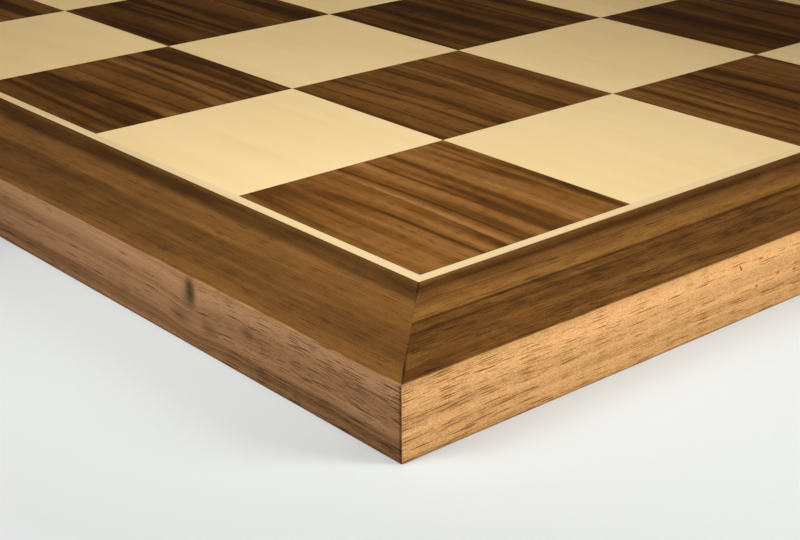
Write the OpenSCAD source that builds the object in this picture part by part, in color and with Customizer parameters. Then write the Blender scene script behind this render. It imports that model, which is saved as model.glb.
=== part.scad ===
// Chess board of veneered squares in a mitred walnut frame.
// X runs along the ranks, from file a to file h; Y runs from rank 1 to rank 8; Z is up.
// The origin is at the middle of the underside.

/* [Playing field] */
// Side of one square
square_size = 55; // [50:1:60]
// Thickness of the sawn veneer squares
face_veneer = 0.9; // [0.6:0.1:1.2]

/* [Inlaid line] */
// Width of the pale line round the field
line_width = 2.3; // [1.5:0.1:4]
// Depth of the pale line below the surface
line_depth = 2; // [1.6:0.1:3]

/* [Panel] */
// Thickness of the bare core
core_thickness = 12; // [11:0.5:18]
// Thickness of the balancing veneer under the core
back_veneer = 0.9; // [0.6:0.1:1.2]

/* [Frame] */
// Width of a rail, from the pale line to the outer edge
rail_width = 28.5; // [26:0.5:40]
// Radius of the sanded outer edges of a rail
arris_radius = 0.3; // [0.2:0.1:1.2]

/* [Tongue and groove] */
// How far the core's tongue stands out of its edge
tongue_length = 7; // [5:0.5:8]
// Thickness of the tongue
tongue_thickness = 4; // [3:0.5:5]
// Slack between a groove and each face of the tongue
tongue_slack = 0.05; // [0.03:0.01:0.15]
// Empty space left at the bottom of a groove
groove_spare = 0.5; // [0.3:0.1:1]

/* [Mitre splines] */
// How deep a spline sits in each rail
spline_grip = 5; // [4:0.5:6]
// Thickness of a spline
spline_thickness = 3; // [2:0.5:4]
// Slack round a spline in its slot
spline_slack = 0.05; // [0.03:0.01:0.15]
// Wood left between a spline slot and the outer edges
spline_outer_wall = 4; // [3:0.5:5]
// Wood left between a spline slot and the groove
spline_inner_wall = 2; // [1.5:0.5:3]

/* [Hidden] */
// A chess board has eight ranks and eight files
squares_a_side = 8;
// How far a cutting tool runs past the face that it cuts
overcut = 1;
// Facets of a full circle where an edge is rounded
round_facets = 48;

field_side = squares_a_side * square_size;
panel_side = field_side + 2 * line_width;
board_side = panel_side + 2 * rail_width;
board_thickness = back_veneer + core_thickness + face_veneer;

core_top = back_veneer + core_thickness;
line_bottom = board_thickness - line_depth;
mid_height = board_thickness / 2;

groove_depth = tongue_length + groove_spare;
groove_height = tongue_thickness + 2 * tongue_slack;

// Distances along the mitre, inwards from the outer corner of the frame
slot_start = spline_grip + spline_slack + sqrt(2) * spline_outer_wall;
slot_end = sqrt(2) * (rail_width - groove_depth - spline_inner_wall);
spline_start = slot_start + spline_slack;
spline_length = slot_end - slot_start - 2 * spline_slack;

walnut = "#6b4423";
maple = "#e8cf9b";
line_maple = "#f6dfae";
fibreboard = "#b08d62";
birch_ply = "#d9b98a";

// Turns from the front side of the board to each of its sides, and to each corner
FRONT = 0;
RIGHT = 90;
BACK = 180;
LEFT = 270;

SHADES = ["dark", "light"];

function squares_name(rank, shade) = str("rank_", rank, "_", shade, "_squares");

// Outline of a strip that lies along the front side, between two squares, with mitred ends
function mitred_strip(inner_side, outer_side) = [
    [-outer_side, -outer_side] / 2,
    [outer_side, -outer_side] / 2,
    [inner_side, -inner_side] / 2,
    [-inner_side, -inner_side] / 2,
];

module centred_slab(side, bottom, height) {
    translate([-side / 2, -side / 2, bottom])
        cube([side, side, height]);
}

// Core board, stepped down at its edge for the pale line, with a tongue on all four sides
module core_panel() {
    color(fibreboard)
        union() {
            centred_slab(panel_side, back_veneer, line_bottom - back_veneer);
            centred_slab(field_side, back_veneer, core_thickness);
            centred_slab(panel_side + 2 * tongue_length, mid_height - tongue_thickness / 2, tongue_thickness);
        }
}

// Sheet that balances the pull of the face veneer
module backing_veneer() {
    color(walnut)
        centred_slab(panel_side, 0, back_veneer);
}

// Section of a rail: x from its inner edge to its outer edge, y up
module rail_section() {
    difference() {
        union() {
            square([rail_width - arris_radius, board_thickness]);
            translate([0, arris_radius])
                square([rail_width, board_thickness - 2 * arris_radius]);
            for (y = [arris_radius, board_thickness - arris_radius])
                translate([rail_width - arris_radius, y])
                    circle(arris_radius, $fn = round_facets);
        }
        translate([-overcut, mid_height - groove_height / 2])
            square([overcut + groove_depth, groove_height]);
    }
}

// Flat plate on the mitre at the front left corner, from one distance to another along it
module mitre_plate(start, length, grip, height) {
    translate([-board_side / 2, -board_side / 2, mid_height - height / 2])
        rotate([0, 0, 45])
            translate([start, -grip, 0])
                cube([length, 2 * grip, height]);
}

// What sanding takes off the upright corner at the front left
module corner_waste() {
    translate([-board_side / 2, -board_side / 2, 0])
        difference() {
            translate([-overcut, -overcut, -overcut])
                cube([overcut + arris_radius, overcut + arris_radius, board_thickness + 2 * overcut]);
            translate([arris_radius, arris_radius, -2 * overcut])
                cylinder(r = arris_radius, h = board_thickness + 4 * overcut, $fn = round_facets);
        }
}

module rail(turn) {
    color(walnut)
        rotate([0, 0, turn])
            difference() {
                intersection() {
                    translate([board_side / 2 + overcut, -panel_side / 2, 0])
                        rotate([90, 0, -90])
                            linear_extrude(board_side + 2 * overcut)
                                rail_section();
                    translate([0, 0, -overcut])
                        linear_extrude(board_thickness + 2 * overcut)
                            polygon(mitred_strip(panel_side - 2 * overcut, board_side + 2 * overcut));
                }
                for (corner = [FRONT, RIGHT])
                    rotate([0, 0, corner]) {
                        mitre_plate(slot_start, slot_end - slot_start, spline_grip + spline_slack,
                                    spline_thickness + 2 * spline_slack);
                        corner_waste();
                    }
            }
}

// Loose feather that locks a mitre, hidden inside the two rails
module spline(turn) {
    color(birch_ply)
        rotate([0, 0, turn])
            mitre_plate(spline_start, spline_length, spline_grip, spline_thickness);
}

// Pale line along one side of the field, mitred at its ends
module line_strip(turn) {
    color(line_maple)
        rotate([0, 0, turn])
            translate([0, 0, line_bottom])
                linear_extrude(line_depth)
                    polygon(mitred_strip(field_side, panel_side));
}

// The four squares of one shade in a rank; a dark square stands at file a of rank 1
module squares(rank, shade) {
    color(shade == "dark" ? walnut : maple)
        for (file = [1 : squares_a_side])
            if (SHADES[(file + rank) % 2] == shade)
                translate([
                    (file - 1) * square_size - field_side / 2,
                    (rank - 1) * square_size - field_side / 2,
                    core_top
                ])
                    cube([square_size, square_size, face_veneer]);
}

core_panel();
backing_veneer();

rail(FRONT);  // front_rail
rail(RIGHT);  // right_rail
rail(BACK);  // back_rail
rail(LEFT);  // left_rail

line_strip(FRONT);  // front_line
line_strip(RIGHT);  // right_line
line_strip(BACK);  // back_line
line_strip(LEFT);  // left_line

spline(FRONT);  // front_left_spline
spline(RIGHT);  // front_right_spline
spline(BACK);  // back_right_spline
spline(LEFT);  // back_left_spline

for (rank = [1 : squares_a_side], shade = SHADES)
    squares(rank, shade);
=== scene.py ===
import bpy
import bmesh
import math
from mathutils import Matrix, Vector


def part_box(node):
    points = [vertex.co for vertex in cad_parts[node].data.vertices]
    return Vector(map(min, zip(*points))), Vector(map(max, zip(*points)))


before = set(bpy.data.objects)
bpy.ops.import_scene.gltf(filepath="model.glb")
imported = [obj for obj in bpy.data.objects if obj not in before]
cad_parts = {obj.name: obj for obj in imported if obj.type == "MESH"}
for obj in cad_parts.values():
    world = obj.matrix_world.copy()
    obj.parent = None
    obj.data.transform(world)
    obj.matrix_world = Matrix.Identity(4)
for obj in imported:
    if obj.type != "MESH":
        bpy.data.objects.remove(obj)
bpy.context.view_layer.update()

# sizes in millimetres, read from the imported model
metresToMm = 1000


def nodeBoxMm(name):
    low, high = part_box(name)
    return low * metresToMm, high * metresToMm


boardLow, boardHigh = nodeBoxMm("front_rail")
rankLow, rankHigh = nodeBoxMm("rank_1_dark_squares")
boardHalf = -boardLow.y  # middle of the board to its outer faces
panelHalf = -nodeBoxMm("front_line")[0].y  # middle of the board to the outer side of the pale line
fieldHalf = -rankLow.y  # middle of the board to the edge of the field
railWidth = boardHalf - panelHalf
squareSide = rankHigh.y - rankLow.y
boardTop = boardHigh.z
print(f"board {2 * boardHalf:.1f} mm, squares {squareSide:.1f} mm, {boardTop:.1f} mm thick")


def linearColor(code):
    # sRGB hex, such as "8a5c32", to linear RGBA
    parts = [int(code[i:i + 2], 16) / 255 for i in (0, 2, 4)]
    return [p / 12.92 if p <= 0.04045 else ((p + 0.055) / 1.055) ** 2.4 for p in parts] + [1]


def addNode(tree, kind, sockets=None, stops=None, **settings):
    # one shader node: its options, its ramp stops, then its inputs as numbers or as links
    node = tree.nodes.new(kind)
    for name, value in settings.items():
        setattr(node, name, value)
    if stops:
        band = node.color_ramp
        while len(band.elements) < len(stops):
            band.elements.new(0.5)
        for element, (where, tone) in zip(band.elements, stops):
            element.position = where
            element.color = linearColor(tone) if isinstance(tone, str) else (tone, tone, tone, 1)
    for key, value in (sockets or {}).items():
        if isinstance(value, bpy.types.Node):
            value = next(output for output in value.outputs if output.enabled)
        if isinstance(value, bpy.types.NodeSocket):
            tree.links.new(value, node.inputs[key])
        else:
            node.inputs[key].default_value = value
    return node


def newMaterial(name):
    material = bpy.data.materials.new(name)
    material.use_nodes = True
    tree = material.node_tree
    tree.nodes.clear()
    return material, tree


# where a point lies on the board

def boardPlace(tree):
    # place in millimetres, in the board's own frame
    place = addNode(tree, "ShaderNodeTexCoord").outputs["Object"]
    return addNode(tree, "ShaderNodeVectorMath", {0: place, "Scale": metresToMm}, operation="SCALE")


def grainPlace(tree, place, alongX):
    # the same place as (along the grain, across it, up)
    parts = addNode(tree, "ShaderNodeSeparateXYZ", {0: place})
    first, second = ("X", "Y") if alongX else ("Y", "X")
    return addNode(tree, "ShaderNodeCombineXYZ", {
        "X": parts.outputs[first], "Y": parts.outputs[second], "Z": parts.outputs["Z"]})


flatNormal = {"from": 0.5, "to": 0.9}  # how far a normal points up or down on the way to a flat face


def faceUp(tree):
    # 1 on the top and the underside, 0 on the upright faces
    normal = addNode(tree, "ShaderNodeTexCoord").outputs["Normal"]
    upright = addNode(tree, "ShaderNodeSeparateXYZ", {0: normal}).outputs["Z"]
    size = addNode(tree, "ShaderNodeMath", {0: upright}, operation="ABSOLUTE")
    return addNode(tree, "ShaderNodeMapRange", {
        "Value": size, "From Min": flatNormal["from"], "From Max": flatNormal["to"]})


# what wood is made of
# a pattern of streaks has its size (along the grain, across it, up) in millimetres, a seed, how much
# detail it has, and the strength with which it moves the tone of the wood
woodBasics = {
    "middle": 0.5,  # of a pattern that runs from 0 to 1
    "roughness": 0.6,  # how ragged streaks are, where the pattern doesn't say
    "seedSteps": (1.0, 1.7, 2.3),  # how a seed moves streaks along each axis
    "poreSeedSteps": (1.0, 1.3, 0.0),
    "shortPore": 0.18, "longPore": 0.375,  # half length of a cut vessel, as a share of its cell
    "poreCore": 0.6,  # share of it that has the full tint
    "swayDetail": 1.0,
}


def streaks(tree, place, pattern, shift=0.0):
    # soft streaks, 0 to 1; shift adds to the seed
    seed = pattern["seed"] + shift
    moved = addNode(tree, "ShaderNodeVectorMath", {
        0: place, 1: [1 / side for side in pattern["size"]],
        2: [seed * step for step in woodBasics["seedSteps"]]}, operation="MULTIPLY_ADD")
    return addNode(tree, "ShaderNodeTexNoise", {
        "Vector": moved, "Scale": 1.0, "Detail": pattern["detail"],
        "Roughness": pattern.get("roughness", woodBasics["roughness"])})


def pores(tree, flat, pattern, share, shift=0.0):
    # cut vessels: 1 inside a slim dash, 0 outside; flat is (along, across) on the face itself,
    # and share is how many of the cells hold a dash
    seed = pattern["seed"] + shift
    moved = addNode(tree, "ShaderNodeVectorMath", {
        0: flat, 1: [1 / side for side in pattern["size"]] + [0],
        2: [seed * step for step in woodBasics["poreSeedSteps"]]}, operation="MULTIPLY_ADD")
    cells = addNode(tree, "ShaderNodeTexVoronoi", {"Vector": moved, "Scale": 1.0, "Randomness": 1.0},
                    voronoi_dimensions="2D")
    chance = addNode(tree, "ShaderNodeSeparateColor", {0: cells.outputs["Color"]})
    reach = addNode(tree, "ShaderNodeMapRange", {
        "Value": chance.outputs["Green"],
        "To Min": woodBasics["shortPore"], "To Max": woodBasics["longPore"]})
    core = addNode(tree, "ShaderNodeMath", {0: reach, 1: woodBasics["poreCore"]}, operation="MULTIPLY")
    inside = addNode(tree, "ShaderNodeMapRange", {
        "Value": cells.outputs["Distance"], "From Min": reach, "From Max": core})
    kept = addNode(tree, "ShaderNodeMath", {0: chance.outputs["Red"], 1: share}, operation="LESS_THAN")
    return addNode(tree, "ShaderNodeMath", {0: inside, 1: kept}, operation="MULTIPLY")


def waver(tree, place, sway, shift=0.0):
    # bends straight grain a little, sideways by up to so many millimetres; shift adds to the seed
    seed = sway["seed"] + shift
    moved = addNode(tree, "ShaderNodeVectorMath", {
        0: place, 1: [1 / side for side in sway["size"]], 2: [seed] * 3}, operation="MULTIPLY_ADD")
    noise = addNode(tree, "ShaderNodeTexNoise", {
        "Vector": moved, "Scale": 1.0, "Detail": woodBasics["swayDetail"]})
    centred = addNode(tree, "ShaderNodeVectorMath", {
        0: noise.outputs["Color"], 1: [woodBasics["middle"]] * 3}, operation="SUBTRACT")
    return addNode(tree, "ShaderNodeVectorMath", {
        0: centred, 1: (0, 2 * sway["mm"], 2 * sway["mm"]), 2: place}, operation="MULTIPLY_ADD")


def ringLines(tree, streak, half):
    # growth rings seen on edge: dark where a streak passes its middle, plain further from it than half
    swing = addNode(tree, "ShaderNodeMath", {0: streak, 1: woodBasics["middle"]}, operation="SUBTRACT")
    apart = addNode(tree, "ShaderNodeMath", {0: swing}, operation="ABSOLUTE")
    return addNode(tree, "ShaderNodeMapRange", {
        "Value": apart, "From Max": half, "To Max": woodBasics["middle"]},
        interpolation_type="SMOOTHSTEP")


def addTone(tree, tone, streak, strength):
    # lighter than the tone where the streak is light, darker where it is dark
    centred = addNode(tree, "ShaderNodeMath", {0: streak, 1: woodBasics["middle"]}, operation="SUBTRACT")
    return addNode(tree, "ShaderNodeMath", {0: centred, 1: strength, 2: tone}, operation="MULTIPLY_ADD")


def addTones(tree, tone, place, patterns):
    for pattern in patterns:
        tone = addTone(tree, tone, streaks(tree, place, pattern), pattern["strength"])
    return tone


def stained(tree, color, marks):
    # darkens a colour by each tint where its mark lies
    for tint, mark in marks:
        if isinstance(tint, str):
            tint = linearColor(tint)
        color = addNode(tree, "ShaderNodeMix", {0: mark, 6: color, 7: tint},
                        data_type="RGBA", blend_type="MULTIPLY")
    return color


def finishWood(tree, color, height, finish):
    # oiled or bare wood: the relief in millimetres goes to a bump
    bump = addNode(tree, "ShaderNodeBump", {
        "Height": height, "Strength": 1.0, "Distance": 1 / metresToMm})
    shader = addNode(tree, "ShaderNodeBsdfPrincipled", {
        "Base Color": color, "Roughness": finish["roughness"], "Normal": bump,
        "IOR": finish["ior"], "Specular IOR Level": finish["specular"]})
    addNode(tree, "ShaderNodeOutputMaterial", {"Surface": shader})


# the squares: veneer cut from long leaves, so each one shows another part of the leaf
squareCut = {
    "leafSize": (900.0, 160.0, 40.0),  # mm of veneer that a square may be cut from: long, wide, deep
    "jointWidth": 0.14,  # mm of darkened glue line at each side of a joint
    "placeSeed": 6368.0,
    "toneSeed": 130086.75,  # squares run from light to dark away from the near corner: partly the veneer's own tone, partly painted shade where the light falls off
}


def squareNumbers(tree, place):
    # a random place on the leaf and a random tone for each square
    halfField = fieldHalf / squareSide  # in squares
    shifted = addNode(tree, "ShaderNodeVectorMath", {
        0: place, 1: [1 / squareSide] * 3, 2: (halfField, halfField, 0)}, operation="MULTIPLY_ADD")
    cell = addNode(tree, "ShaderNodeVectorMath", {0: shifted}, operation="FLOOR")
    randoms = []
    for key in ("placeSeed", "toneSeed"):
        flat = addNode(tree, "ShaderNodeVectorMath", {
            0: cell, 1: (1, 1, 0), 2: (0, 0, squareCut[key])}, operation="MULTIPLY_ADD")
        randoms.append(addNode(tree, "ShaderNodeTexWhiteNoise", {"Vector": flat}, noise_dimensions="3D"))
    placeNoise, toneNoise = randoms
    return placeNoise.outputs["Color"], toneNoise.outputs["Value"]


def leafPlace(tree, place, randomColor):
    # place on the leaf of veneer: the grain of every square runs along Y
    along = grainPlace(tree, place, alongX=False)
    return addNode(tree, "ShaderNodeVectorMath", {0: randomColor, 1: squareCut["leafSize"], 2: along},
                   operation="MULTIPLY_ADD")


def glueLine(tree, place):
    # 1 at the very sides of a square, 0 further in
    parts = addNode(tree, "ShaderNodeSeparateXYZ", {0: place})
    fromSides = []
    for axis in ("X", "Y"):
        inField = addNode(tree, "ShaderNodeMath", {0: parts.outputs[axis], 1: fieldHalf}, operation="ADD")
        fromSides.append(addNode(tree, "ShaderNodeMath", {0: inField, 1: squareSide / 2},
                                 operation="PINGPONG"))
    nearest = addNode(tree, "ShaderNodeMath", {0: fromSides[0], 1: fromSides[1]}, operation="MINIMUM")
    return addNode(tree, "ShaderNodeMapRange", {
        "Value": nearest, "From Min": squareCut["jointWidth"], "From Max": 0.0})


# walnut veneer, quarter-cut and oiled: straight dark and light stripes with fine open pores
walnutLeaf = {
    "colors": [(0.0, "372009"), (0.3, "4a2f11"), (0.5, "624019"), (0.75, "734f26"), (1.0, "856033")],
    "startTone": 0.56,
    "sway": {"size": (60.0, 30.0, 30.0), "seed": 3.1, "mm": 1.8},
    # broad light and dark bands, soft stripes inside them, and the dark growth rings, about 1 mm wide
    "bands": {"size": (240.0, 12.0, 60.0), "seed": 4.3, "detail": 1.0, "strength": 0.6},
    "stripes": {
        "size": (150.0, 3.7, 60.0), "seed": 7.7, "detail": 1.7, "roughness": 0.5, "strength": 1.35},
    "rings": {"size": (220.0, 7.0, 60.0), "seed": 12.1, "detail": 1.0, "strength": 0.65},
    "ringHalf": 0.065,  # of the pattern's range, to each side of its middle
    "clouds": {"size": (16.0, 6.0, 8.0), "seed": 4.9, "detail": 1.0, "strength": 0.4},
    "fibres": {"size": (14.0, 0.4, 8.0), "seed": 5.2, "detail": 1.0, "strength": 0.28},
    "pores": {"size": (5.0, 0.4), "seed": 2.4}, "poreShare": 0.4,
    "poreTint": "c2b2a6", "glueTint": "6a5444",
    "poreDepth": 0.03,  # mm
    # what the darkest and the lightest square do to the colour
    "darkest": (0.58, 0.54, 0.42), "lightest": (1.38, 1.4, 1.5),
    "ior": 1.5, "specular": 0.01, "roughness": 0.5,
}


def walnutSquares():
    material, tree = newMaterial("walnut veneer, quarter cut, oiled")
    wood = walnutLeaf
    place = boardPlace(tree)
    randomColor, randomValue = squareNumbers(tree, place)
    leaf = waver(tree, leafPlace(tree, place, randomColor), wood["sway"])
    rings = ringLines(tree, streaks(tree, leaf, wood["rings"]), wood["ringHalf"])
    tone = addTones(tree, wood["startTone"], leaf, [wood["bands"], wood["stripes"]])
    tone = addTone(tree, tone, rings, wood["rings"]["strength"])
    tone = addTones(tree, tone, leaf, [wood["clouds"], wood["fibres"]])
    color = addNode(tree, "ShaderNodeValToRGB", {0: tone}, stops=wood["colors"])
    squareTone = addNode(tree, "ShaderNodeMix", {
        0: randomValue, 4: wood["darkest"], 5: wood["lightest"]}, data_type="VECTOR")
    toned = addNode(tree, "ShaderNodeVectorMath", {0: color, 1: squareTone}, operation="MULTIPLY")
    pore = pores(tree, leaf, wood["pores"], wood["poreShare"])
    marked = stained(tree, toned, [(wood["poreTint"], pore), (wood["glueTint"], glueLine(tree, place))])
    height = addNode(tree, "ShaderNodeMath", {0: pore, 1: -wood["poreDepth"]}, operation="MULTIPLY")
    finishWood(tree, marked, height, wood)
    return material


# maple veneer, oiled: cream, nearly plain, with faint fibre lines
mapleLeaf = {
    "colors": [(0.0, "dac290"), (0.5, "dfc897"), (1.0, "e3cd9e")],
    "startTone": 0.5,
    "sway": {"size": (90.0, 40.0, 40.0), "seed": 6.3, "mm": 2.5},
    "clouds": {"size": (60.0, 18.0, 40.0), "seed": 4.4, "detail": 2.0, "strength": 1.4},
    "rings": {"size": (300.0, 4.5, 60.0), "seed": 2.9, "detail": 2.0, "strength": 0.8},
    "fibres": {"size": (16.0, 0.35, 8.0), "seed": 8.1, "detail": 2.0, "strength": 0.5},
    "fibreRelief": 0.004,  # mm
    "toneSpread": 0.06,  # how much darker the darkest square is
    "ior": 1.5, "specular": 0.01, "roughness": 0.45,
}


def mapleSquares():
    material, tree = newMaterial("maple veneer, oiled")
    wood = mapleLeaf
    place = boardPlace(tree)
    randomColor, randomValue = squareNumbers(tree, place)
    leaf = waver(tree, leafPlace(tree, place, randomColor), wood["sway"])
    fibres = streaks(tree, leaf, wood["fibres"])
    tone = addTones(tree, wood["startTone"], leaf, [wood["clouds"], wood["rings"]])
    tone = addTone(tree, tone, fibres, wood["fibres"]["strength"])
    color = addNode(tree, "ShaderNodeValToRGB", {0: tone}, stops=wood["colors"])
    squareTone = addNode(tree, "ShaderNodeMapRange", {
        "Value": randomValue, "To Min": 1 - wood["toneSpread"], "To Max": 1.0})
    toned = addNode(tree, "ShaderNodeVectorMath", {0: color, "Scale": squareTone}, operation="SCALE")
    height = addNode(tree, "ShaderNodeMath", {0: fibres, 1: wood["fibreRelief"]}, operation="MULTIPLY")
    finishWood(tree, toned, height, wood)
    return material


# maple stringing: a pale strip with long straight fibres; its colour is a darker copy of the squares'
# maple, painted shade that offsets the lamps' stronger light at the board's edge
mapleString = {
    "colors": [(0.0, "ccb589"), (0.5, "d2bc92"), (1.0, "d8c59b")],
    "startTone": 0.5,
    "rings": {"size": (120.0, 1.6, 1.6), "seed": 0.0, "detail": 2.0, "strength": 1.4},
    "ringShift": {"X": 3.3, "Y": 5.9},  # the strips along each axis are cut from another place
    "fibres": {"size": (12.0, 0.3, 0.3), "seed": 1.1, "detail": 1.0, "strength": 0.7},
    "fibreRelief": 0.004,  # mm
    "ior": 1.5, "specular": 0.01, "roughness": 0.45,
}


def mapleLine(axis):
    material, tree = newMaterial("maple stringing, oiled, along " + axis)
    wood = mapleString
    place = grainPlace(tree, boardPlace(tree), alongX=(axis == "X"))
    fibres = streaks(tree, place, wood["fibres"])
    rings = streaks(tree, place, wood["rings"], wood["ringShift"][axis])
    tone = addTone(tree, wood["startTone"], rings, wood["rings"]["strength"])
    tone = addTone(tree, tone, fibres, wood["fibres"]["strength"])
    color = addNode(tree, "ShaderNodeValToRGB", {0: tone}, stops=wood["colors"])
    height = addNode(tree, "ShaderNodeMath", {0: fibres, 1: wood["fibreRelief"]}, operation="MULTIPLY")
    finishWood(tree, color, height, wood)
    return material


# the frame: four rails of solid walnut, sanded and oiled, each cut from its own board: dark and light
# rings with dashes of open pores, browner on the top than on the upright faces; the upright faces are
# painted lighter partly as painted light, for the low lamps that light them more than the top
# colours run from the dark rings to the light ones; a band is (millimetres, how light), counted
# outwards from the pale line on the top, and up from the underside on the upright face
# topPores are the shares of cells with a pore near the line and near the outer edge, and facePores
# those near the end and near the middle of the rail; topFigure is how strong the streaks are on the
# top, endTones what the end adds on the face and on the top, and the arris share how strongly the arris
# is painted paler, partly as rubbed wear, partly as a painted highlight
railWood = {
    "front_rail": {
        "alongX": True, "seed": 2.0,
        # the front face's colours are lighter than the other faces' partly as painted light, for the lamp
        # that lights it most
        "topColors": ("472e12", "694822", "886331"), "faceColors": ("9f794d", "be9462", "d4a671"),
        "topBands": [(0, 0.5), (3.2, 0.05), (6, 0.6), (10.5, 0.95), (12.2, 0.75), (13, 0.0),
                     (13.9, 0.5), (15.2, 0.55), (16, 0.1), (17.2, 0.45), (28.5, 0.45)],
        "faceBands": [(0, 0.35), (2.4, 0.5), (3.6, 0.2), (5, 0.6), (8.6, 0.4), (10.6, 0.9), (13.8, 0.5)],
        "topPores": (0.1, 0.5), "facePores": (0.5, 0.2), "topFigure": 0.85, "endTones": (0.0, 0.0),
        "topPoreTint": "9a8870", "facePoreTint": "b8a48a", "wearAndHighlight": 0.4,
    },
    "left_rail": {
        "alongX": False, "seed": 11.0,
        "topColors": ("402a10", "624422", "7f5b2f"), "faceColors": ("6c4f32", "906d4e", "aa8462"),
        "topBands": [(0, 0.4), (2, 0.12), (4.8, 0.1), (8, 0.75), (12.5, 0.7), (16, 0.4), (22, 0.4),
                     (28.5, 0.65)],
        "faceBands": [(0, 0.35), (3, 0.1), (5, 0.5), (7.5, 0.6), (8.6, 0.35), (11.6, 0.85), (13.8, 0.9)],
        # its end tones make the top lighter towards the corners: painted light, the lamps' pool at the
        # near corner
        "topPores": (0.1, 0.15), "facePores": (0.55, 0.1), "topFigure": 0.6, "endTones": (-0.04, 0.16),
        "topPoreTint": "b4a594", "facePoreTint": "a0968e", "wearAndHighlight": 0.6,
    },
    "right_rail": {
        "alongX": False, "seed": 23.0,
        "topColors": ("482e14", "684825", "8c6537"), "faceColors": ("7a5534", "957050", "ab8460"),
        "topBands": [(0, 0.6), (5, 0.8), (9, 0.3), (14, 0.15), (18, 0.6), (24, 0.9), (28.5, 0.5)],
        "faceBands": [(0, 0.5), (2, 0.2), (5, 0.7), (7, 0.35), (10, 0.8), (12, 0.3), (13.8, 0.6)],
        "topPores": (0.2, 0.3), "facePores": (0.5, 0.4), "topFigure": 0.7, "endTones": (0.0, 0.1),
        "topPoreTint": "a69680", "facePoreTint": "b0a08c", "wearAndHighlight": 0.5,
    },
    "back_rail": {
        "alongX": True, "seed": 37.0,
        "topColors": ("472d13", "684725", "8b6436"), "faceColors": ("765233", "8f6b4a", "a57e5a"),
        "topBands": [(0, 0.3), (4, 0.5), (8, 0.15), (12, 0.7), (17, 0.9), (22, 0.4), (28.5, 0.2)],
        "faceBands": [(0, 0.6), (3, 0.8), (5.5, 0.3), (8, 0.6), (11, 0.2), (13.8, 0.7)],
        "topPores": (0.3, 0.2), "facePores": (0.4, 0.35), "topFigure": 0.8, "endTones": (0.1, 0.0),
        "topPoreTint": "a69680", "facePoreTint": "b0a08c", "wearAndHighlight": 0.6,
    },
}
# what the four rails share; a pattern's strengths are those on the upright face and on the top, and
# its seed adds to the rail's own
railFinish = {
    "sway": {"size": (85.0, 40.0, 30.0), "seed": 0.0, "mm": 1.0},
    "streaks": {"size": (150.0, 1.6, 1.0), "seed": 0.0, "detail": 3.0, "strengths": (1.3, 1.3)},
    "cross": {"size": (4.0, 14.0, 14.0), "seed": 4.0, "detail": 1.0, "strengths": (0.0, 0.12)},
    "crossTurn": 35,  # degrees that the faint cross figure is turned from the grain
    "clouds": {"size": (16.0, 4.5, 4.0), "seed": 6.0, "detail": 2.0, "strengths": (0.3, 0.8)},
    "fibres": {"size": (18.0, 0.35, 0.3), "seed": 3.0, "detail": 2.0, "strengths": (0.6, 0.6)},
    "endSpan": (110, 20),  # mm from the end of a rail between which its end tone comes in
    "pores": {"size": (9.0, 0.36), "seed": 5.0}, "poreDepth": 0.03,
    "finePores": {"size": (4.5, 0.26), "seed": 8.0}, "fineShare": 0.5,  # of the depth of the others
    "finePoreTint": "cdc0b0",
    "poreSpans": {"topPores": (6, 18), "facePores": (15, 60)},  # mm between which the share changes
    "rows": {"size": (45.0, 1.3, 1.1), "seed": 7.0, "detail": 1.0},  # pores crowd together in rows
    "rowEdges": (0.36, 0.62), "rowCrowding": (0.3, 2.0),
    "speckles": {"size": (0.3, 0.2, 0.2), "seed": 9.0, "detail": 0.0}, "speckleEdges": (0.62, 0.38),
    "speckleTint": "e8dfd6",
    "mitreGap": 0.3, "mitreCore": 0.02,  # mm of dark line at each side of a mitre, where it is open
    "mitreOpen": [(0.0, 0.9), (0.1, 0.8), (0.22, 0.25), (0.45, 0.1), (0.58, 0.35), (0.75, 0.6),
                  (0.88, 1.0), (1.0, 0.6)],  # how open it is, from the line to the outer edge
    "mitreOnFace": 0.1,  # it is tight on the upright faces
    "mitreTint": "66503e",
    "footShadeSpan": (0.6, 0.15), "footShadeTint": "c2b4a4",  # mm above the table between which a rail darkens: painted shade along its foot
    "seamSpan": (0.8, 0.24), "seamTint": "b4a993",  # mm of dulled end on the side rails' outer faces
    "wearAndHighlightSpan": (0.35, 0.15), "wearAndHighlightColor": "c29a64",  # mm of an arris painted paler: partly rubbed wear, partly a painted highlight
    # breaks in the pale arris, in its wear and its painted highlight alike
    "rubsAndGlints": {"size": (9.0, 3.0, 3.0), "seed": 10.0, "detail": 3.0}, "rubAndGlintEdges": (0.4, 0.56),
    "nearCornerSpan": (90, 30), "nearCornerLeast": 0.1,  # mm from a corner, between which the pale arris, partly a painted highlight, fades out
    "ior": 1.5, "specular": 0.01, "roughness": 0.5,
}
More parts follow.
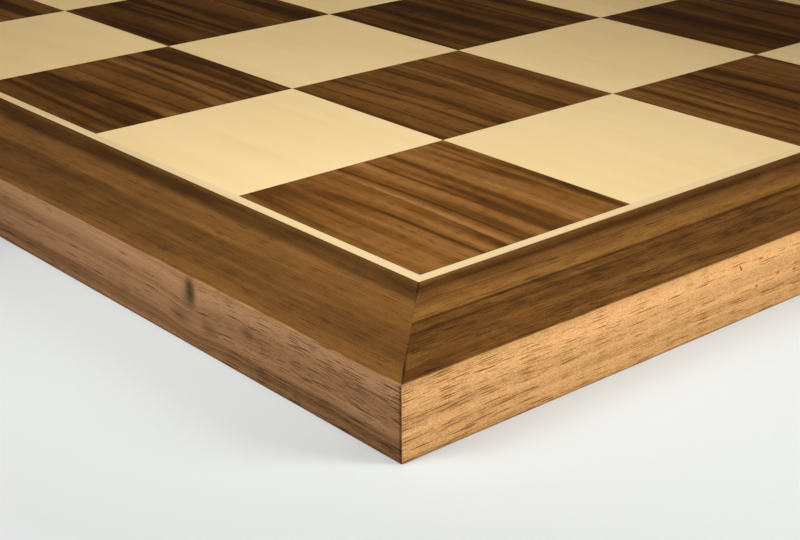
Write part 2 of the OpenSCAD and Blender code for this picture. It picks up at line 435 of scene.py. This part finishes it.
# small marks of the wood on the upright faces: along the rail and up, half sizes, tilt in degrees, tint
railMarks = {
    "left_rail": [
        {"at": (-193.5, 11.0), "half": (2.3, 4.0), "tilt": -4, "soft": 0.85, "tint": "8a9690"},  # knot
        {"at": (-192.4, 9.6), "half": (3.2, 4.4), "tilt": -4, "soft": 1.0, "tint": "ced0cc"},
        {"at": (-189.6, 5.1), "half": (5.5, 2.2), "tilt": 0, "soft": 1.0, "tint": "cdcac6"},
        {"at": (-199.0, 5.2), "half": (4.0, 2.0), "tilt": 0, "soft": 1.0, "tint": "c8c6be"},
        {"at": (-210.5, 8.5), "half": (3.0, 1.6), "tilt": 0, "soft": 1.0, "tint": "cec9c2"},
    ],
    "front_rail": [
        {"at": (-169.3, 10.8), "half": (0.26, 0.95), "tilt": 32, "soft": 0.6, "tint": "86664e"},  # fleck
        {"at": (-164.2, 5.9), "half": (0.5, 0.5), "tilt": 0, "soft": 0.9, "tint": "9c7c66"},
        {"at": (-163.5, 11.2), "half": (1.0, 0.6), "tilt": 0, "soft": 1.0, "tint": "c8aa92"},
        {"at": (-157.9, 6.9), "half": (0.8, 0.6), "tilt": 0, "soft": 1.0, "tint": "c0a28c"},
        {"at": (-152.9, 6.3), "half": (0.8, 0.7), "tilt": 0, "soft": 1.0, "tint": "c0a28c"},
    ],
}
knotDip = {"at": -193.3, "depth": 0.9, "reach": 12.1}  # mm: grain dips under the pin knot


def mitreDistance(tree, x, y):
    # millimetres from the nearest mitre, on any corner
    apart = addNode(tree, "ShaderNodeMath", {0: x, 1: y}, operation="SUBTRACT")
    size = addNode(tree, "ShaderNodeMath", {0: apart}, operation="ABSOLUTE")
    return addNode(tree, "ShaderNodeMath", {0: size, 1: math.sqrt(0.5)}, operation="MULTIPLY")


def dippedGrain(tree, grain, onFace):
    # grain lines of the upright face that pass a little lower under the knot
    parts = addNode(tree, "ShaderNodeSeparateXYZ", {0: grain})
    along = parts.outputs["X"]
    away = addNode(tree, "ShaderNodeMath", {0: along, 1: knotDip["at"]}, operation="SUBTRACT")
    near = addNode(tree, "ShaderNodeMath", {0: away}, operation="ABSOLUTE")
    share = addNode(tree, "ShaderNodeMapRange", {
        "Value": near, "From Min": knotDip["reach"], "From Max": 0.0, "To Max": knotDip["depth"]},
        interpolation_type="SMOOTHSTEP")
    amount = addNode(tree, "ShaderNodeMath", {0: share, 1: onFace}, operation="MULTIPLY")
    lift = addNode(tree, "ShaderNodeCombineXYZ", {"Z": amount})
    return addNode(tree, "ShaderNodeVectorMath", {0: grain, 1: lift}, operation="ADD")


def spotMark(tree, grain, mark):
    # 1 inside a soft-edged ellipse on an upright face
    along, up = mark["at"]
    halfAlong, halfUp = mark["half"]
    turned = addNode(tree, "ShaderNodeVectorRotate", {
        "Vector": grain, "Center": (along, 0, up), "Angle": math.radians(mark["tilt"])},
        rotation_type="Y_AXIS")
    moved = addNode(tree, "ShaderNodeVectorMath", {0: turned, 1: (along, 0, up)}, operation="SUBTRACT")
    scaled = addNode(tree, "ShaderNodeVectorMath", {0: moved, 1: (1 / halfAlong, 0, 1 / halfUp)},
                     operation="MULTIPLY")
    reach = addNode(tree, "ShaderNodeVectorMath", {0: scaled}, operation="LENGTH")
    return addNode(tree, "ShaderNodeMapRange", {
        "Value": reach.outputs["Value"], "From Min": 1.0, "From Max": 1 - mark["soft"]},
        interpolation_type="SMOOTHSTEP")


def bandTone(tree, reach, span, bands):
    # how light the rings are at a distance, from a board's list of bands
    share = addNode(tree, "ShaderNodeMath", {0: reach, 1: span}, operation="DIVIDE")
    node = addNode(tree, "ShaderNodeValToRGB", {0: share},
                   stops=[(mm / span, tone) for mm, tone in bands])
    node.color_ramp.interpolation = "EASE"
    return node


def solidWalnut(name):
    board, finish = railWood[name], railFinish
    seed = board["seed"]
    material, tree = newMaterial("solid walnut, sanded and oiled, " + name.replace("_", " "))
    place = boardPlace(tree)
    grain = grainPlace(tree, place, board["alongX"])
    up = faceUp(tree)
    onFace = addNode(tree, "ShaderNodeMath", {0: 1.0, 1: up}, operation="SUBTRACT")
    dipped = dippedGrain(tree, grain, onFace) if name == "left_rail" else grain
    bent = waver(tree, dipped, finish["sway"], seed)

    # distances in millimetres: from the pale line outwards, from the rail's end, and from the middle
    bentParts = addNode(tree, "ShaderNodeSeparateXYZ", {0: bent})
    bentAcross = addNode(tree, "ShaderNodeMath", {0: bentParts.outputs["Y"]}, operation="ABSOLUTE")
    fromLine = addNode(tree, "ShaderNodeMath", {0: bentAcross, 1: panelHalf}, operation="SUBTRACT")
    along = addNode(tree, "ShaderNodeSeparateXYZ", {0: grain}).outputs["X"]
    alongSize = addNode(tree, "ShaderNodeMath", {0: along}, operation="ABSOLUTE")
    fromEnd = addNode(tree, "ShaderNodeMath", {0: boardHalf, 1: alongSize}, operation="SUBTRACT")
    parts = addNode(tree, "ShaderNodeSeparateXYZ", {0: place})
    x = addNode(tree, "ShaderNodeMath", {0: parts.outputs["X"]}, operation="ABSOLUTE")
    y = addNode(tree, "ShaderNodeMath", {0: parts.outputs["Y"]}, operation="ABSOLUTE")
    outmost = addNode(tree, "ShaderNodeMath", {0: x, 1: y}, operation="MAXIMUM")

    # rings: broad bands, narrow streaks, a faint cross figure, clouds and fibres
    topTone = bandTone(tree, fromLine, railWidth, board["topBands"])
    faceTone = bandTone(tree, bentParts.outputs["Z"], boardTop, board["faceBands"])
    rings = addNode(tree, "ShaderNodeMix", {0: up, 2: faceTone, 3: topTone})
    # the end tone; on the left rail the lighter top towards its ends is painted light, for the lamps'
    # pool at the near corner
    faceEnd, topEnd = board["endTones"]
    endFrom, endTo = finish["endSpan"]
    endLift = addNode(tree, "ShaderNodeMapRange", {"Value": up, "To Min": faceEnd, "To Max": topEnd})
    endTone = addNode(tree, "ShaderNodeMapRange", {
        "Value": fromEnd, "From Min": endFrom, "From Max": endTo, "To Max": endLift})
    tone = addNode(tree, "ShaderNodeMath", {0: rings, 1: endTone}, operation="ADD")
    turned = addNode(tree, "ShaderNodeVectorRotate", {
        "Vector": grain, "Angle": math.radians(finish["crossTurn"])}, rotation_type="Z_AXIS")
    layers = [("streaks", bent, board["topFigure"]), ("cross", turned, 1.0),
              ("clouds", grain, 1.0), ("fibres", bent, board["topFigure"])]
    for key, where, figure in layers:
        onUpright, onTop = finish[key]["strengths"]
        strength = addNode(tree, "ShaderNodeMapRange", {
            "Value": up, "To Min": onUpright, "To Max": onTop * figure})
        tone = addTone(tree, tone, streaks(tree, where, finish[key], seed), strength)
    # the upright faces get lighter colours than the top, partly as painted light
    faceColor, topColor = [
        addNode(tree, "ShaderNodeValToRGB", {0: tone}, stops=list(zip((0.0, 0.5, 1.0), board[key])))
        for key in ("faceColors", "topColors")]
    figured = addNode(tree, "ShaderNodeMix", {0: up, 6: faceColor, 7: topColor}, data_type="RGBA")

    # pores, thicker on the ground in some rows than in others
    across = addNode(tree, "ShaderNodeMix", {
        0: up, 2: bentParts.outputs["Z"], 3: bentParts.outputs["Y"]})
    flat = addNode(tree, "ShaderNodeCombineXYZ", {"X": bentParts.outputs["X"], "Y": across})
    rowLow, rowHigh = finish["rowEdges"]
    fewest, most = finish["rowCrowding"]
    crowd = addNode(tree, "ShaderNodeMapRange", {
        "Value": streaks(tree, bent, finish["rows"], seed),
        "From Min": rowLow, "From Max": rowHigh, "To Min": fewest, "To Max": most})
    shares = []
    for key, reach in (("facePores", fromEnd), ("topPores", fromLine)):
        spanFrom, spanTo = finish["poreSpans"][key]
        shareFrom, shareTo = board[key]
        shares.append(addNode(tree, "ShaderNodeMapRange", {
            "Value": reach, "From Min": spanFrom, "From Max": spanTo,
            "To Min": shareFrom, "To Max": shareTo}))
    faceShare, topShare = shares
    share = addNode(tree, "ShaderNodeMix", {0: up, 2: faceShare, 3: topShare})
    crowded = addNode(tree, "ShaderNodeMath", {0: share, 1: crowd}, operation="MULTIPLY")
    pore = pores(tree, flat, finish["pores"], crowded, seed)
    fine = pores(tree, flat, finish["finePores"], crowded, seed)
    speckleFrom, speckleTo = finish["speckleEdges"]
    speckle = addNode(tree, "ShaderNodeMapRange", {
        "Value": streaks(tree, grain, finish["speckles"], seed),
        "From Min": speckleFrom, "From Max": speckleTo})
    poreTint = addNode(tree, "ShaderNodeMix", {
        0: up, 6: linearColor(board["facePoreTint"]), 7: linearColor(board["topPoreTint"])},
        data_type="RGBA")
    marks = [(finish["speckleTint"], speckle), (finish["finePoreTint"], fine), (poreTint, pore)]
    for mark in railMarks.get(name, []):
        spot = addNode(tree, "ShaderNodeMath", {0: spotMark(tree, grain, mark), 1: onFace},
                       operation="MULTIPLY")
        marks.append((mark["tint"], spot))

    # the dark line of the mitre, wide in some places and closed in others
    outwards = addNode(tree, "ShaderNodeMath", {0: outmost, 1: panelHalf}, operation="SUBTRACT")
    openness = bandTone(tree, outwards, railWidth,
                        [(part * railWidth, amount) for part, amount in finish["mitreOpen"]])
    width = addNode(tree, "ShaderNodeMath", {0: openness, 1: finish["mitreGap"]}, operation="MULTIPLY")
    line = addNode(tree, "ShaderNodeMapRange", {
        "Value": mitreDistance(tree, x, y), "From Min": width, "From Max": finish["mitreCore"]})
    shown = addNode(tree, "ShaderNodeMapRange", {
        "Value": up, "To Min": finish["mitreOnFace"], "To Max": 1.0})
    darkness = addNode(tree, "ShaderNodeMath", {0: openness, 1: shown}, operation="MULTIPLY")
    gap = addNode(tree, "ShaderNodeMath", {0: line, 1: darkness}, operation="MULTIPLY")
    marks.append((finish["mitreTint"], gap))

    # painted shade along the foot of each rail, where it stands on the table, and dulled where a side
    # rail's end meets the front or the back
    footShadeFrom, footShadeTo = finish["footShadeSpan"]
    marks.append((finish["footShadeTint"], addNode(tree, "ShaderNodeMapRange", {
        "Value": parts.outputs["Z"], "From Min": footShadeFrom, "From Max": footShadeTo})))
    if not board["alongX"]:
        seamFrom, seamTo = finish["seamSpan"]
        seam = addNode(tree, "ShaderNodeMapRange", {
            "Value": fromEnd, "From Min": seamFrom, "From Max": seamTo})
        marks.append((finish["seamTint"], addNode(tree, "ShaderNodeMath", {0: seam, 1: onFace},
                                                  operation="MULTIPLY")))
    marked = stained(tree, figured, marks)

    # the upper arris painted paler, partly rubbed wear and partly a painted highlight, and on the front
    # and back rails the upright one too
    inwards = addNode(tree, "ShaderNodeMath", {0: boardHalf, 1: outmost}, operation="SUBTRACT")
    below = addNode(tree, "ShaderNodeMath", {0: boardTop, 1: parts.outputs["Z"]}, operation="SUBTRACT")
    fromArris = addNode(tree, "ShaderNodeMath", {0: inwards, 1: below}, operation="ADD")
    if board["alongX"]:
        upright = addNode(tree, "ShaderNodeMath", {0: inwards, 1: fromEnd}, operation="MAXIMUM")
        fromArris = addNode(tree, "ShaderNodeMath", {0: fromArris, 1: upright}, operation="MINIMUM")
    wearAndHighlightFrom, wearAndHighlightTo = finish["wearAndHighlightSpan"]
    edge = addNode(tree, "ShaderNodeMapRange", {
        "Value": fromArris, "From Min": wearAndHighlightFrom, "From Max": wearAndHighlightTo})
    rubAndGlintLow, rubAndGlintHigh = finish["rubAndGlintEdges"]
    rubsAndGlints = addNode(tree, "ShaderNodeMapRange", {
        "Value": streaks(tree, grain, finish["rubsAndGlints"], seed),
        "From Min": rubAndGlintLow, "From Max": rubAndGlintHigh, "To Max": board["wearAndHighlight"]})
    nearCornerFrom, nearCornerTo = finish["nearCornerSpan"]
    nearCorner = addNode(tree, "ShaderNodeMapRange", {
        "Value": fromEnd, "From Min": nearCornerFrom, "From Max": nearCornerTo,
        "To Min": finish["nearCornerLeast"]}, interpolation_type="SMOOTHSTEP")
    rubbedAndLit = addNode(tree, "ShaderNodeMath", {0: edge, 1: nearCorner}, operation="MULTIPLY")
    wearAndHighlight = addNode(tree, "ShaderNodeMath", {0: rubbedAndLit, 1: rubsAndGlints}, operation="MULTIPLY")
    color = addNode(tree, "ShaderNodeMix", {0: wearAndHighlight, 6: marked, 7: linearColor(finish["wearAndHighlightColor"])},
                    data_type="RGBA")

    both = addNode(tree, "ShaderNodeMath", {0: fine, 1: finish["fineShare"], 2: pore},
                   operation="MULTIPLY_ADD")
    deep = addNode(tree, "ShaderNodeMath", {0: gap, 1: both}, operation="ADD")
    height = addNode(tree, "ShaderNodeMath", {0: deep, 1: -finish["poreDepth"]}, operation="MULTIPLY")
    finishWood(tree, color, height, finish)
    return material


# underneath: one wide leaf of crown-cut veneer, plain and sealed, with long wandering rings
backingWood = {
    "colors": [(0.0, "472d16"), (0.5, "6a4526"), (1.0, "8a6039")],
    "startTone": 0.5,
    "sway": {"size": (220.0, 70.0, 60.0), "seed": 4.0, "mm": 6.0},
    "rings": {"size": (500.0, 9.0, 60.0), "seed": 6.0, "detail": 4.0, "strength": 2.2},
    "fibres": {"size": (16.0, 0.4, 8.0), "seed": 1.0, "detail": 2.0, "strength": 0.5},
    "pores": {"size": (7.0, 0.5), "seed": 3.0}, "poreShare": 0.4,
    "poreTint": "9c8674",
    "poreDepth": 0.03,  # mm
    "ior": 1.5, "specular": 0.01, "roughness": 0.6,
}


def walnutBacking():
    material, tree = newMaterial("walnut balancing veneer, crown cut, sealed")
    wood = backingWood
    leaf = waver(tree, grainPlace(tree, boardPlace(tree), alongX=False), wood["sway"])
    tone = addTones(tree, wood["startTone"], leaf, [wood["rings"], wood["fibres"]])
    color = addNode(tree, "ShaderNodeValToRGB", {0: tone}, stops=wood["colors"])
    pore = pores(tree, leaf, wood["pores"], wood["poreShare"])
    height = addNode(tree, "ShaderNodeMath", {0: pore, 1: -wood["poreDepth"]}, operation="MULTIPLY")
    finishWood(tree, stained(tree, color, [(wood["poreTint"], pore)]), height, wood)
    return material


# inside, and not seen: bare fibreboard, matt with fine specks, and bare plywood in thin plies
coreBoard = {
    "colors": [(0.3, "8d6d49"), (0.5, "a98860"), (0.7, "bd9d74")],
    "specks": {"size": (0.9, 0.9, 0.5), "seed": 2.0, "detail": 3.0},
    "ior": 1.5, "specular": 0.1, "roughness": 0.85,
}
splinePly = {
    "colors": [(0.2, "c2a074"), (0.5, "d9bc92"), (0.8, "e6cda6")],
    "startTone": 0.5,
    "plyThickness": 1.0, "plyStrength": 0.8,  # mm, and how far the plies differ in tone
    "fibres": {"size": (8.0, 0.4, 0.4), "seed": 2.0, "detail": 2.0, "strength": 0.6},
    "ior": 1.5, "specular": 0.1, "roughness": 0.85,
}


def fibreboard():
    material, tree = newMaterial("medium density fibreboard, bare")
    specks = streaks(tree, boardPlace(tree), coreBoard["specks"])
    color = addNode(tree, "ShaderNodeValToRGB", {0: specks}, stops=coreBoard["colors"])
    finishWood(tree, color, 0.0, coreBoard)
    return material


def birchPly():
    material, tree = newMaterial("birch plywood, bare")
    wood = splinePly
    place = boardPlace(tree)
    up = addNode(tree, "ShaderNodeSeparateXYZ", {0: place}).outputs["Z"]
    ply = addNode(tree, "ShaderNodeMath", {0: up, 1: wood["plyThickness"]}, operation="PINGPONG")
    tone = addTone(tree, wood["startTone"], ply, wood["plyStrength"])
    tone = addTones(tree, tone, place, [wood["fibres"]])
    color = addNode(tree, "ShaderNodeValToRGB", {0: tone}, stops=wood["colors"])
    finishWood(tree, color, 0.0, wood)
    return material


def dress(names, material):
    for name in names:
        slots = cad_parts[name].data.materials
        slots.clear()
        slots.append(material)


rankCount = round(2 * fieldHalf / squareSide)
ranks = range(1, rankCount + 1)
dress([f"rank_{rank}_dark_squares" for rank in ranks], walnutSquares())
dress([f"rank_{rank}_light_squares" for rank in ranks], mapleSquares())
dress(["front_line", "back_line"], mapleLine("X"))
dress(["left_line", "right_line"], mapleLine("Y"))
for railName in railWood:
    dress([railName], solidWalnut(railName))
dress(["backing_veneer"], walnutBacking())
dress(["core_panel"], fibreboard())
dress(["front_left_spline", "front_right_spline", "back_right_spline", "back_left_spline"], birchPly())
print("woods done")


# table top of white laminate, matt and plain, open under the board so that the underside can be seen
# in a disc round the near corner it takes the lamps' light and the board's shadow, mixed with some
# plain pale light, more of it on the left; further off it is as pale as the backdrop, with a soft
# shade where the board stands on it
floorSettings = {
    "half": 9.0,
    "lap": 0.0005,  # metres that the board overlaps the opening under it
    "inset": 0.042,  # metres from the near corner in to the middle of the disc, along each axis
    "litFrom": 0.082, "litTo": 0.112,  # metres from there between which the lit part fades out
    "color": "d3dade", "roughness": 0.6, "specular": 0.02,
    "paleColor": "e9ebeb",
    "rightPale": 0.1, "leftPale": 0.36,  # shares of plain light on the two sides of the diagonal
    "leftFrom": -0.01, "leftTo": 0.03,  # metres across the diagonal between which one becomes the other
    "shadeReach": 0.08, "closed": 0.5, "shade": 0.5,  # metres, how closed in, and how much darker
}


def makeFloor():
    settings = floorSettings
    mesh = bpy.data.meshes.new("table_top")
    shape = bmesh.new()  # three faces by three, of which the middle one makes way for the board
    bmesh.ops.create_grid(shape, x_segments=3, y_segments=3, size=settings["half"])
    opening = boardHalf / metresToMm - settings["lap"]
    for corner in shape.verts:
        for axis in (0, 1):
            if abs(corner.co[axis]) < settings["half"] / 2:
                corner.co[axis] = math.copysign(opening, corner.co[axis])
    middleFace = min(shape.faces, key=lambda face: face.calc_center_median().length)
    bmesh.ops.delete(shape, geom=[middleFace], context="FACES_ONLY")
    shape.to_mesh(mesh)
    shape.free()
    floor = bpy.data.objects.new("table_top", mesh)
    bpy.context.scene.collection.objects.link(floor)

    # how much of the plain pale light shows: all of it away from the corner and from below
    material, tree = newMaterial("white laminate, matt")
    place = addNode(tree, "ShaderNodeTexCoord").outputs["Object"]
    middle = settings["inset"] - boardHalf / metresToMm
    fromMiddle = addNode(tree, "ShaderNodeVectorMath", {0: place, 1: (middle, middle, 0)},
                         operation="DISTANCE")
    away = addNode(tree, "ShaderNodeMapRange", {
        "Value": fromMiddle.outputs["Value"],
        "From Min": settings["litFrom"], "From Max": settings["litTo"]}, interpolation_type="SMOOTHSTEP")
    parts = addNode(tree, "ShaderNodeSeparateXYZ", {0: place})
    leftwards = addNode(tree, "ShaderNodeMath", {0: parts.outputs["Y"], 1: parts.outputs["X"]},
                        operation="SUBTRACT")
    left = addNode(tree, "ShaderNodeMapRange", {
        "Value": leftwards, "From Min": settings["leftFrom"], "From Max": settings["leftTo"],
        "To Min": settings["rightPale"], "To Max": settings["leftPale"]},
        interpolation_type="SMOOTHSTEP")
    under = addNode(tree, "ShaderNodeNewGeometry").outputs["Backfacing"]
    plain = addNode(tree, "ShaderNodeMath", {0: away, 1: under}, operation="MAXIMUM")
    paler = addNode(tree, "ShaderNodeMath", {0: plain, 1: left}, operation="MAXIMUM")
    amount = addNode(tree, "ShaderNodeMath", {0: paler, 1: directlySeen(tree)}, operation="MULTIPLY")

    # the shade round the foot of the board, away from the near corner
    sky = addNode(tree, "ShaderNodeAmbientOcclusion", {"Distance": settings["shadeReach"]})
    closed = addNode(tree, "ShaderNodeMapRange", {
        "Value": sky.outputs["AO"], "From Min": 1.0, "From Max": settings["closed"]})
    shaded = addNode(tree, "ShaderNodeMath", {0: closed, 1: away}, operation="MULTIPLY")
    strength = addNode(tree, "ShaderNodeMapRange", {
        "Value": shaded, "To Min": 1.0, "To Max": 1 - settings["shade"]})
    far = addNode(tree, "ShaderNodeEmission", {
        "Color": linearColor(settings["paleColor"]), "Strength": strength})
    near = addNode(tree, "ShaderNodeBsdfPrincipled", {
        "Base Color": linearColor(settings["color"]), "Roughness": settings["roughness"],
        "Specular IOR Level": settings["specular"]})
    mixed = addNode(tree, "ShaderNodeMixShader", {0: amount, 1: near, 2: far})
    addNode(tree, "ShaderNodeOutputMaterial", {"Surface": mixed})
    mesh.materials.append(material)


def directlySeen(tree):
    # 1 for rays from the camera, and for those that mirror or pass through
    seen = addNode(tree, "ShaderNodeLightPath")
    shown = addNode(tree, "ShaderNodeMath", {
        0: seen.outputs["Is Camera Ray"], 1: seen.outputs["Is Glossy Ray"]}, operation="MAXIMUM")
    return addNode(tree, "ShaderNodeMath", {
        0: shown, 1: seen.outputs["Is Transmission Ray"]}, operation="MAXIMUM")


makeFloor()
print("table top done")

# light, in metres, degrees and watts: a soft box at each side of the near corner and one over the
# camera, softer ones above the rest of the board and low down on each side, and one for the underside
lampSettings = {
    "right box": {
        "place": (-0.031, -0.517, 0.171), "aim": (-0.346, -0.363, 0.0),
        "spread": 122.9, "size": 0.18, "watts": 0.875},
    "left box": {
        "place": (-0.463, -0.143, 0.2), "aim": (-0.204, -0.213, 0.0),
        "spread": 54.9, "size": 0.18, "watts": 0.1},
    "over box": {
        "place": (-0.238, -0.398, 0.337), "aim": (-0.153, -0.046, 0.0),
        "spread": 39.6, "size": 0.3, "watts": 0.168},
    "high box": {
        "place": (0.16, 0.17, 0.7), "aim": (0.14, 0.15, 0.0),
        "spread": 38, "size": 0.18, "watts": 0.15},
    "side box": {
        "place": (0.24, -0.13, 0.5), "aim": (0.18, -0.13, 0.0),
        "spread": 34, "size": 0.12, "watts": 0.036},
    "low back box": {
        "place": (0.0, 0.75, 0.06), "aim": (0.0, 0.25, 0.0),
        "spread": 70, "size": 0.11, "watts": 0.5},
    "low right box": {
        "place": (0.75, 0.0, 0.06), "aim": (0.25, 0.0, 0.0),
        "spread": 70, "size": 0.11, "watts": 0.5},
    "low front box": {
        "place": (0.3, -0.7, 0.06), "aim": (0.22, -0.25, 0.0),
        "spread": 44, "size": 0.11, "watts": 0.12},
    "low left box": {
        "place": (-0.7, 0.24, 0.06), "aim": (-0.25, 0.16, 0.0),
        "spread": 50, "size": 0.11, "watts": 0.15},
    "under box": {
        "place": (0.2, -0.3, -0.9), "aim": (0.0, 0.0, 0.0),
        "spread": 60, "size": 0.4, "watts": 2.2},
}
roomSettings = {
    "ambient": "7e6949",  # light from the dim, warm room
    "horizon": "ebecec", "zenith": "585858",  # what the camera and the sheen of the wood see
    "low": 0.05, "high": 0.16,  # how far up the one ends and the other begins
}


def makeLamp(name, settings):
    data = bpy.data.lights.new(name, "AREA")
    data.shape = "DISK"
    data.size = settings["size"]
    data.energy = settings["watts"]
    data.spread = math.radians(settings["spread"])
    lamp = bpy.data.objects.new(name, data)
    bpy.context.scene.collection.objects.link(lamp)
    lamp.visible_camera = False
    lamp.visible_glossy = not name.startswith("low")  # the low ones aren't mirrored by the wood
    place, aim = Vector(settings["place"]), Vector(settings["aim"])
    look = (aim - place).to_track_quat("-Z", "Y").to_matrix().to_4x4()
    lamp.matrix_world = Matrix.Translation(place) @ look


def makeRoom():
    world = bpy.data.worlds.new("studio")
    bpy.context.scene.world = world
    world.use_nodes = True
    tree = world.node_tree
    tree.nodes.clear()
    direction = addNode(tree, "ShaderNodeTexCoord").outputs["Generated"]
    up = addNode(tree, "ShaderNodeSeparateXYZ", {0: direction}).outputs["Z"]
    shown = addNode(tree, "ShaderNodeValToRGB", {0: up}, stops=[
        (roomSettings["low"], roomSettings["horizon"]), (roomSettings["high"], roomSettings["zenith"])])
    light = addNode(tree, "ShaderNodeMix", {
        0: directlySeen(tree), 6: linearColor(roomSettings["ambient"]), 7: shown}, data_type="RGBA")
    background = addNode(tree, "ShaderNodeBackground", {"Color": light, "Strength": 1.0})
    addNode(tree, "ShaderNodeOutputWorld", {"Surface": background})


for lampName, lampValues in lampSettings.items():
    makeLamp(lampName, lampValues)
makeRoom()
print("light done")

# camera: close to the near corner, looking down 22 degrees along the diagonal
cameraSettings = {
    "place": (-0.39334, -0.41763, 0.12281),
    "aim": (-0.22114, -0.21590, 0.01380),
    "lens": 72.76, "sensor": 36.0,  # mm
    "rollDegrees": -0.34,
    "clipStart": 0.01,
}


def makeCamera():
    data = bpy.data.cameras.new("camera")
    data.lens = cameraSettings["lens"]
    data.sensor_width = cameraSettings["sensor"]
    data.clip_start = cameraSettings["clipStart"]
    camera = bpy.data.objects.new("camera", data)
    bpy.context.scene.collection.objects.link(camera)
    place, aim = Vector(cameraSettings["place"]), Vector(cameraSettings["aim"])
    look = (aim - place).to_track_quat("-Z", "Y").to_matrix().to_4x4()
    roll = Matrix.Rotation(math.radians(cameraSettings["rollDegrees"]), 4, "Z")
    camera.matrix_world = Matrix.Translation(place) @ look @ roll
    bpy.context.scene.camera = camera
    print("camera done, axes", [[round(v, 4) for v in row[:3]] for row in camera.matrix_world])


makeCamera()
bpy.context.scene.view_settings.view_transform = "Standard"

print("scene done")
